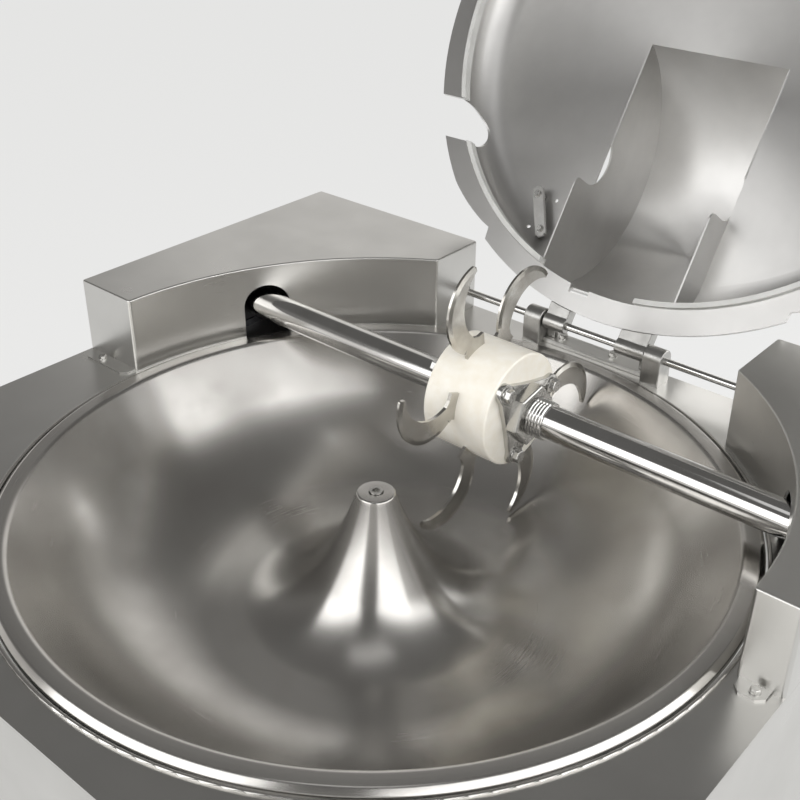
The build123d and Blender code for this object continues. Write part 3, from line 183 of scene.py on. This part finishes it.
# finishes: grain is the spacing in mm of the surface's marks along X, Y and Z, and a large value
# runs with the mark. Depth is the marks' depth in mm. Cloud is the size in mm of the slow change
# of tone. Grinding lines are 0.05 to 0.2 mm apart and would not show, so they are drawn at
# 0.4 to 1.5 mm. A stretch spreads a reflection across ring marks.
finishes = {
    # 304 stainless, spun and polished: soft mirror with faint rings, bright fans on the cone
    "spun_steel": {
        "name": "stainlessSpunPolished", "hex": "#CDCBC7", "cloudHex": "#C2BFBB", "metallic": 1,
        "rough": 0.25, "spread": 0.03, "lay": "round", "stretch": 0.8, "grain": (1.3, 1, 1.3),
        "depth": 0.004, "cloud": 90},
    # 304 stainless sheet, belt-ground: fine level lines, satin shine
    "sheet_steel": {
        "name": "stainlessBeltGround", "hex": "#D0CFCC", "cloudHex": "#C9C8C5", "metallic": 1,
        "rough": 0.30, "spread": 0.035, "lay": "flat", "grain": (60, 60, 0.9),
        "depth": 0.006, "cloud": 140},
    # stainless, turned: close tool rings, brighter than the sheet
    "turned_steel": {
        "name": "stainlessTurned", "hex": "#CFCECB", "cloudHex": "#BFBEBB", "metallic": 1,
        "rough": 0.24, "spread": 0.06, "lay": "flat", "grain": (0.5, 8, 8),
        "depth": 0.006, "cloud": 30},
    # stainless bar, centreless ground: near mirror, with long sharp streaks of light
    "ground_shaft": {
        "name": "stainlessCentrelessGround", "hex": "#D4D3D1", "cloudHex": "#C8C7C4", "metallic": 1,
        "rough": 0.11, "spread": 0.03, "lay": "flat", "grain": (0.7, 30, 30),
        "depth": 0.0015, "cloud": 60},
    # knife steel, flat-ground: warm grey faces and a bright cutting edge
    "blade_steel": {
        "name": "knifeSteelGround", "hex": "#CFCDC8", "cloudHex": "#BDB9B2", "metallic": 1,
        "rough": 0.22, "spread": 0.06, "lay": "flat", "grain": (4, 0.6, 14),
        "depth": 0.004, "cloud": 25},
    # cast nylon, turned: cream white with a low wax shine
    "hub_nylon": {
        "name": "castNylonTurned", "hex": "#FAF6EC", "cloudHex": "#F4EEE0", "metallic": 0,
        "rough": 0.42, "spread": 0.08, "lay": "flat", "grain": (0.9, 12, 12),
        "depth": 0.02, "cloud": 18},
    # cast stainless, bead-blasted: even light grey, no direction
    "cast_stainless": {
        "name": "stainlessCastBlasted", "hex": "#C4C3C0", "cloudHex": "#B2B1AE", "metallic": 1,
        "rough": 0.34, "spread": 0.06, "lay": "flat", "grain": (0.7, 0.7, 0.7),
        "depth": 0.012, "cloud": 20},
    # grey iron, machined: dark and dull
    "cast_iron": {
        "name": "greyIronMachined", "hex": "#6A6B6C", "cloudHex": "#55565A", "metallic": 1,
        "rough": 0.5, "spread": 0.1, "lay": "flat", "grain": (1.4, 1.4, 1.4),
        "depth": 0.03, "cloud": 30},
    # bronze, turned: warm brown with rings
    "bronze": {
        "name": "bronzeTurned", "hex": "#B08A50", "cloudHex": "#8E6C3C", "metallic": 1,
        "rough": 0.3, "spread": 0.06, "lay": "flat", "grain": (8, 8, 0.5),
        "depth": 0.006, "cloud": 20},
    # bearing steel, ground: cold and bright
    "bearing_steel": {
        "name": "bearingSteelGround", "hex": "#C9C9CA", "cloudHex": "#BBBBBD", "metallic": 1,
        "rough": 0.16, "spread": 0.03, "lay": "flat", "grain": (0.4, 6, 6),
        "depth": 0.002, "cloud": 20},
    # primer, sprayed: flat mid grey with a fine orange peel
    "frame_paint": {
        "name": "primerSprayed", "hex": "#8D9193", "cloudHex": "#7F8385", "metallic": 0,
        "rough": 0.55, "spread": 0.06, "lay": "flat", "grain": (1.2, 1.2, 1.2),
        "depth": 0.03, "cloud": 60},
    # enamel, sprayed: blue grey with a wet shine
    "motor_paint": {
        "name": "enamelSprayed", "hex": "#42586B", "cloudHex": "#394D5E", "metallic": 0,
        "rough": 0.34, "spread": 0.05, "lay": "flat", "grain": (2.5, 2.5, 2.5),
        "depth": 0.04, "cloud": 60},
    # nitrile rubber, moulded: soft black
    "seal_rubber": {
        "name": "nitrileMoulded", "hex": "#1C1C1D", "cloudHex": "#28282A", "metallic": 0,
        "rough": 0.5, "spread": 0.08, "lay": "flat", "grain": (0.8, 0.8, 0.8),
        "depth": 0.02, "cloud": 12},
    # cloth-backed belt: dusty black, no shine
    "belt_rubber": {
        "name": "beltClothBacked", "hex": "#262628", "cloudHex": "#323234", "metallic": 0,
        "rough": 0.75, "spread": 0.08, "lay": "flat", "grain": (0.6, 0.6, 0.6),
        "depth": 0.05, "cloud": 12},
    # silicone, extruded: pale grey with a soft shine
    "gasket_plastic": {
        "name": "siliconeExtruded", "hex": "#D2D2CF", "cloudHex": "#C3C3C0", "metallic": 0,
        "rough": 0.46, "spread": 0.06, "lay": "flat", "grain": (1, 1, 1),
        "depth": 0.01, "cloud": 40},
    # acetal, milled: off-white with faint cutter lines
    "bar_plastic": {
        "name": "acetalMilled", "hex": "#E4E3DF", "cloudHex": "#D6D5D0", "metallic": 0,
        "rough": 0.4, "spread": 0.06, "lay": "flat", "grain": (0.8, 8, 8),
        "depth": 0.01, "cloud": 20},
    # stainless screws, cold-headed: bright, slightly uneven
    "bolt_steel": {
        "name": "stainlessColdHeaded", "hex": "#CBCAC7", "cloudHex": "#AFAEAB", "metallic": 1,
        "rough": 0.25, "spread": 0.08, "lay": "flat", "grain": (0.6, 0.6, 0.6),
        "depth": 0.008, "cloud": 6},
    # ABS, moulded with a fine texture: dark grey, dull
    "panel_plastic": {
        "name": "absTexturedMoulded", "hex": "#303234", "cloudHex": "#282A2C", "metallic": 0,
        "rough": 0.55, "spread": 0.08, "lay": "flat", "grain": (0.5, 0.5, 0.5),
        "depth": 0.03, "cloud": 30},
    # coloured ABS, moulded smooth: clear colour with a gloss
    "green_plastic": {
        "name": "absGreenMoulded", "hex": "#1E8A3C", "cloudHex": "#1A7A35", "metallic": 0,
        "rough": 0.3, "spread": 0.05, "lay": "flat", "grain": (1, 1, 1),
        "depth": 0.005, "cloud": 12},
    "black_plastic": {
        "name": "absBlackMoulded", "hex": "#1A1A1B", "cloudHex": "#222224", "metallic": 0,
        "rough": 0.3, "spread": 0.05, "lay": "flat", "grain": (1, 1, 1),
        "depth": 0.005, "cloud": 12},
    "red_plastic": {
        "name": "absRedMoulded", "hex": "#B81C18", "cloudHex": "#A51915", "metallic": 0,
        "rough": 0.3, "spread": 0.05, "lay": "flat", "grain": (1, 1, 1),
        "depth": 0.005, "cloud": 12},
    # 304 stainless, pressed and left satin: light grey with a broad soft shine
    "lid_steel": {
        "name": "stainlessPressedSatin", "hex": "#E1E0DE", "cloudHex": "#D9D8D6", "metallic": 1,
        "rough": 0.42, "spread": 0.03, "lay": "lid", "stretch": 0.8, "grain": (1.3, 1, 1.3),
        "depth": 0.004, "cloud": 90},
}
plasticIor = 1.5
brushTurn = 0.25  # a quarter turn, so that the spread runs out from the axis


def makeFinish(spec):
    made = bpy.data.materials.new(spec["name"])
    made.use_nodes = True
    tree = made.node_tree
    tree.nodes.clear()
    skin = addNode(tree, "ShaderNodeBsdfPrincipled", {"Metallic": spec["metallic"], "Roughness": spec["rough"]})
    if not spec["metallic"]:
        skin.inputs["IOR"].default_value = plasticIor
    if spec.get("stretch"):
        skin.inputs["Anisotropic"].default_value = spec["stretch"]
        skin.inputs["Anisotropic Rotation"].default_value = brushTurn
        rings = addNode(tree, "ShaderNodeTangent", {"direction_type": "RADIAL", "axis": "Z"})
        tree.links.new(rings.outputs[0], skin.inputs["Tangent"])
    place = addNode(tree, "ShaderNodeTexCoord").outputs["Object"]
    if spec["lay"] == "lid":  # the open lid's marks run round its own axis
        swing = Matrix.Rotation(lidSwing, 3, "X")
        shift = hingeLine - swing @ hingeLine
        place = addNode(tree, "ShaderNodeMapping", {"Location": shift, "Rotation": (lidSwing, 0, 0)},
                        {"Vector": place}).outputs[0]
    marks = place
    if spec["lay"] != "flat":
        parts = addNode(tree, "ShaderNodeSeparateXYZ", links={0: place})
        across = addNode(tree, "ShaderNodeCombineXYZ", links={"X": parts.outputs["X"], "Y": parts.outputs["Y"]})
        reach = addNode(tree, "ShaderNodeVectorMath", {"operation": "LENGTH"}, {0: across.outputs[0]})
        marks = addNode(tree, "ShaderNodeCombineXYZ",
                        links={"X": reach.outputs["Value"], "Z": parts.outputs["Z"]}).outputs[0]
    scaled = addNode(tree, "ShaderNodeMapping", {"Scale": [1 / (g * mm) for g in spec["grain"]]}, {"Vector": marks})
    grain = addNode(tree, "ShaderNodeTexNoise", {"Scale": 1, "Detail": 3, "Roughness": 0.6},
                    {"Vector": scaled.outputs[0]}).outputs[0]
    cloud = addNode(tree, "ShaderNodeTexNoise", {"Scale": 1 / (spec["cloud"] * mm), "Detail": 3, "Roughness": 0.55},
                    {"Vector": place}).outputs[0]
    tone = addNode(tree, "ShaderNodeMapRange", {"From Min": 0.35, "From Max": 0.7}, {"Value": cloud})
    colour = addNode(tree, "ShaderNodeMix", {
        "data_type": "RGBA", "A": hexColour(spec["hex"]), "B": hexColour(spec["cloudHex"])},
        {"Factor": tone.outputs[0]})
    mixed = addNode(tree, "ShaderNodeMath", {"operation": "ADD"}, {0: grain, 1: cloud})
    shine = addNode(tree, "ShaderNodeMapRange", {
        "From Min": 0.6, "From Max": 1.4,
        "To Min": spec["rough"] - spec["spread"], "To Max": spec["rough"] + spec["spread"]},
        {"Value": mixed.outputs[0]})
    bump = addNode(tree, "ShaderNodeBump", {"Strength": 1, "Distance": spec["depth"] * mm}, {"Height": grain})
    tree.links.new(colour.outputs["Result"], skin.inputs["Base Color"])
    tree.links.new(shine.outputs[0], skin.inputs["Roughness"])
    tree.links.new(bump.outputs[0], skin.inputs["Normal"])
    addNode(tree, "ShaderNodeOutputMaterial", links={"Surface": skin.outputs[0]})
    return made


finish = {slot: makeFinish(spec) for slot, spec in finishes.items()}
lidSheets = ("lid_shell", "left_lid_partition", "right_lid_partition")
for name, node in nodes.items():
    for s in node.material_slots:
        s.material = finish["lid_steel" if name in lidSheets else s.material.name.split(".")[0]]
print("finishes:", len(finish))

# edges: sheet and machined pieces get a small rounding, in mm, that catches the light
edgeWidths = {
    "left_housing": 2.2, "right_housing": 2.2, "cabinet_body": 1.6, "deck_plate": 1.2, "deck_collar": 1.0,
    "left_hinge_bracket": 1.4, "right_hinge_bracket": 1.4, "lid_hinge_lugs": 1.4, "hinge_base_plate": 0.8,
    "left_lid_partition": 0.8, "right_lid_partition": 0.8, "knife_hub": 2.0, "ring_nut": 0.8, "hub_bolts": 0.6,
    "housing_bolts": 0.5, "knife_shaft": 0.4, "rear_cover": 0.8, "side_cover": 0.8, "control_panel": 1.2,
}
edgeSteps = 2
sharpFrom = radians(32)  # a fold above this angle is an edge, below it a curve
weldReach = 0.02 * mm
for name, width in edgeWidths.items():
    node = nodes[name]
    weld = node.modifiers.new("weld", "WELD")
    weld.merge_threshold = weldReach
    edge = node.modifiers.new("edge", "BEVEL")
    edge.width, edge.segments, edge.angle_limit = width * mm, edgeSteps, sharpFrom
    edge.limit_method = "ANGLE"
    node.modifiers.new("shade", "WEIGHTED_NORMAL").keep_sharp = True
print("edges:", len(edgeWidths))


def arcPoints(centre, radius, start, end, count):
    angles = [radians(start + (end - start) * i / count) for i in range(count + 1)]
    return [(centre[0] + radius * cos(a), centre[1] + radius * sin(a)) for a in angles]


# rounds a corner of a profile from trim before it to trim after it
def softCorner(before, corner, after, trim, count=6):
    b = Vector(corner)
    a, c = (b + (Vector(far) - b).normalized() * trim for far in (before, after))
    return [tuple(a * (1 - t) ** 2 + b * 2 * t * (1 - t) + c * t * t) for t in (i / count for i in range(count + 1))]


def finishMesh(name, shape):
    bmesh.ops.remove_doubles(shape, verts=shape.verts, dist=1e-7)
    bmesh.ops.recalc_face_normals(shape, faces=shape.faces)
    for face in shape.faces:
        face.smooth = True
    for edge in shape.edges:
        edge.smooth = edge.calc_face_angle(0) < sharpFrom
    mesh = bpy.data.meshes.new(name)
    shape.to_mesh(mesh)
    shape.free()
    return mesh


# joins closed loops, each to the next and the last to the first
def ringMesh(name, loops):
    shape = bmesh.new()
    rings = [[shape.verts.new(spot) for spot in loop] for loop in loops]
    for i, ring in enumerate(rings):
        following = rings[(i + 1) % len(rings)]
        for j, corner in enumerate(ring):
            k = (j + 1) % len(ring)
            shape.faces.new((corner, ring[k], following[k], following[j]))
    return finishMesh(name, shape)


# bowl: the trough follows the knife tips, two arcs climb to the cone, a straight wall to the rim
bowlSizes = {
    "radius": 500, "wall": 6, "lip": 14, "coneTop": 26, "coneCap": 18, "coneSlope": 16.9, "flank": 418,
    "foot": 125, "trough": 217, "shaftOut": 237.5, "shaftUp": 44, "wallSlope": 55,
    "screwRadius": 9.6, "screwDepth": 10, "screwEdge": 0.6, "boreRadius": 6.3,
    "coneTrim": 2.6, "creaseTrim": 5.2, "rimTrim": 2.2, "lipTrim": 2.0,
    "flankSteps": 36, "footSteps": 24, "troughSteps": 40, "sides": 256,
}


def troughLine(wall, top, level):
    b = bowlSizes
    slope, lean = radians(b["coneSlope"]), radians(b["wallSlope"])
    flank = (b["coneTop"] + b["flank"] * cos(slope), b["flank"] * sin(slope))
    footUp = b["shaftUp"] - b["trough"] + b["foot"]
    drop = flank[1] - footUp
    reach = b["flank"] - b["foot"]
    foot = (flank[0] - sqrt(reach ** 2 - drop ** 2), footUp)
    footTurn = 180 + degrees(asin(drop / reach))
    first = 180 + degrees(asin((flank[1] - top) / (b["flank"] + wall)))
    line = arcPoints(flank, b["flank"] + wall, first, footTurn, b["flankSteps"])
    line += arcPoints(foot, b["foot"] + wall, footTurn, 270, b["footSteps"])
    line += arcPoints((b["shaftOut"], b["shaftUp"]), b["trough"] + wall, 270, 270 + b["wallSlope"], b["troughSteps"])
    brow = line[-1]
    return line + [(brow[0] + (level - brow[1]) / sin(lean) * cos(lean), level)]


def bowlOutline():
    b = bowlSizes
    inside = troughLine(0, 0, 0)
    outside = troughLine(b["wall"], -b["coneCap"], -b["wall"])
    rim = [(b["radius"] - b["lip"] / 2, 0), (b["radius"], -b["lip"] / 2), (b["radius"], -b["lip"])]
    bore = b["screwRadius"]
    points = [(bore, -b["screwDepth"]), (bore, -b["screwEdge"]), (bore + b["screwEdge"], 0)]
    points += softCorner((0, 0), inside[0], inside[2], b["coneTrim"]) + inside[2:-1]
    points += softCorner(inside[-2], inside[-1], rim[0], b["creaseTrim"])
    points += softCorner(inside[-1], rim[0], rim[1], b["rimTrim"])
    points += softCorner(rim[0], rim[1], rim[2], b["lipTrim"]) + rim[2:]
    points += [(b["radius"] - b["wall"], -b["lip"]), (b["radius"] - b["wall"], -b["wall"])] + outside[::-1]
    return points + [(b["boreRadius"], -b["coneCap"]), (b["boreRadius"], -b["screwDepth"])]


outline = bowlOutline()
turns = [2 * pi * i / bowlSizes["sides"] for i in range(bowlSizes["sides"])]
loops = [[(r * mm * cos(t), r * mm * sin(t), rimLevel + z * mm) for r, z in outline] for t in turns]
joinPiece("turnedBowl", ringMesh("turnedBowl", loops), "bowl", finish["spun_steel"], "bowl")
print("bowl turned:", len(outline), "points")

# clamp plate: three arms with hollow sides, one under each through bolt
plateSizes = {
    "left": 60, "right": 68, "hole": 30, "boss": 43, "boltCircle": 66, "armEnd": 15, "first": 15,
    "hollow": 2.4, "edge": ((1.2, 0), (0.35, 0.4), (0, 1.3)), "sides": 180,  # edge: back and in from the rim
}


def plateReach(turn):
    p = plateSizes
    off = radians(abs((degrees(turn) - p["first"] + 60) % 120 - 60))  # from the nearest arm
    edgeTurn = asin(p["armEnd"] / p["boltCircle"])
    if off < edgeTurn:
        return p["boltCircle"] * cos(off) + sqrt(max(0, p["armEnd"] ** 2 - (p["boltCircle"] * sin(off)) ** 2))
    left = 1 - (off - edgeTurn) / (pi / 3 - edgeTurn)
    return p["boss"] + (p["boltCircle"] * cos(edgeTurn) - p["boss"]) * left ** p["hollow"]


p = plateSizes
loops = []
for i in range(p["sides"]):
    turn = 2 * pi * i / p["sides"]
    reach = plateReach(turn)
    spots = [(p["left"], p["hole"]), (p["left"], reach)]
    spots += [(p["right"] - back, reach - inward) for back, inward in p["edge"]] + [(p["right"], p["hole"])]
    loops.append([(x * mm, shaftLine.y + r * mm * cos(turn), shaftLine.z + r * mm * sin(turn)) for x, r in spots])
joinPiece("hollowSidedPlate", ringMesh("hollowSidedPlate", loops), "knife", finish["turned_steel"], "clamp_flange")
print("clamp plate cut")

# scraper bar under the lid's roof, on two spacers, with a hexagon bolt through each
barSizes = {
    "centre": (-207, 348, 75),  # lid closed, up from the rim
    "turn": -28, "length": 92, "width": 20, "thick": 6, "corner": 4, "edge": 0.8, "boltOut": 32,
    "spacer": 7, "spacerUp": 12, "headFlats": 10, "headTall": 4.5, "washer": 7, "washerTall": 1,
    "headEdge": 0.2, "headTaper": 0.86,  # the head's last fifth tapers to this share
    "sides": 32, "cornerSteps": 5, "edgeSteps": 2,
}
s = barSizes
opened = Matrix.Translation(hingeLine) @ Matrix.Rotation(-lidSwing, 4, "X") @ Matrix.Translation(-hingeLine)
centre = Vector((0, 0, rimLevel)) + Vector(s["centre"]) * mm
base = opened @ Matrix.Translation(centre) @ Matrix.Rotation(radians(s["turn"]), 4, "Z")


def addDisc(shape, place, low, tall, lower, upper, sides):
    middle = Matrix.Translation((0, 0, (low + tall / 2) * mm))
    bmesh.ops.create_cone(shape, cap_ends=True, segments=sides, radius1=lower * mm, radius2=upper * mm,
                          depth=tall * mm, matrix=place @ middle)


def roundSome(shape, upright, offset, steps):
    chosen = []
    for edge in shape.edges:
        rise = abs((edge.verts[0].co - edge.verts[1].co).z)
        if (rise > s["thick"] * mm / 2) if upright else (rise < 0.1 * mm):
            chosen.append(edge)
    bmesh.ops.bevel(shape, geom=chosen, offset=offset * mm, segments=steps, affect="EDGES")


shape = bmesh.new()
block = Matrix.Diagonal((s["width"] * mm, s["length"] * mm, s["thick"] * mm, 1))
bmesh.ops.create_cube(shape, size=1, matrix=block)
roundSome(shape, True, s["corner"], s["cornerSteps"])
roundSome(shape, False, s["edge"], s["edgeSteps"])
for side in (-1, 1):
    place = Matrix.Translation((0, side * s["boltOut"] * mm, 0))
    addDisc(shape, place, s["thick"] / 2, s["spacerUp"], s["spacer"], s["spacer"], s["sides"])
bmesh.ops.transform(shape, matrix=base, verts=shape.verts)
joinPiece("scraperBarTurned", finishMesh("scraperBarTurned", shape), "lid", finish["cast_stainless"], "scraper_bar")

shape = bmesh.new()
corner = s["headFlats"] / 2 / cos(pi / 6)
edgeTall = s["headTall"] * s["headEdge"]
for side in (-1, 1):
    place = Matrix.Translation((0, side * s["boltOut"] * mm, -s["thick"] / 2 * mm))
    addDisc(shape, place, -s["washerTall"], s["washerTall"], s["washer"], s["washer"], s["sides"])
    addDisc(shape, place, -s["washerTall"] - s["headTall"] + edgeTall, s["headTall"] - edgeTall, corner, corner, 6)
    addDisc(shape, place, -s["washerTall"] - s["headTall"], edgeTall, corner * s["headTaper"], corner, 6)
bmesh.ops.transform(shape, matrix=base, verts=shape.verts)
joinPiece("scraperBoltHeads", finishMesh("scraperBoltHeads", shape), "lid", finish["bolt_steel"], "scraper_bolts")
print("scraper bar set")
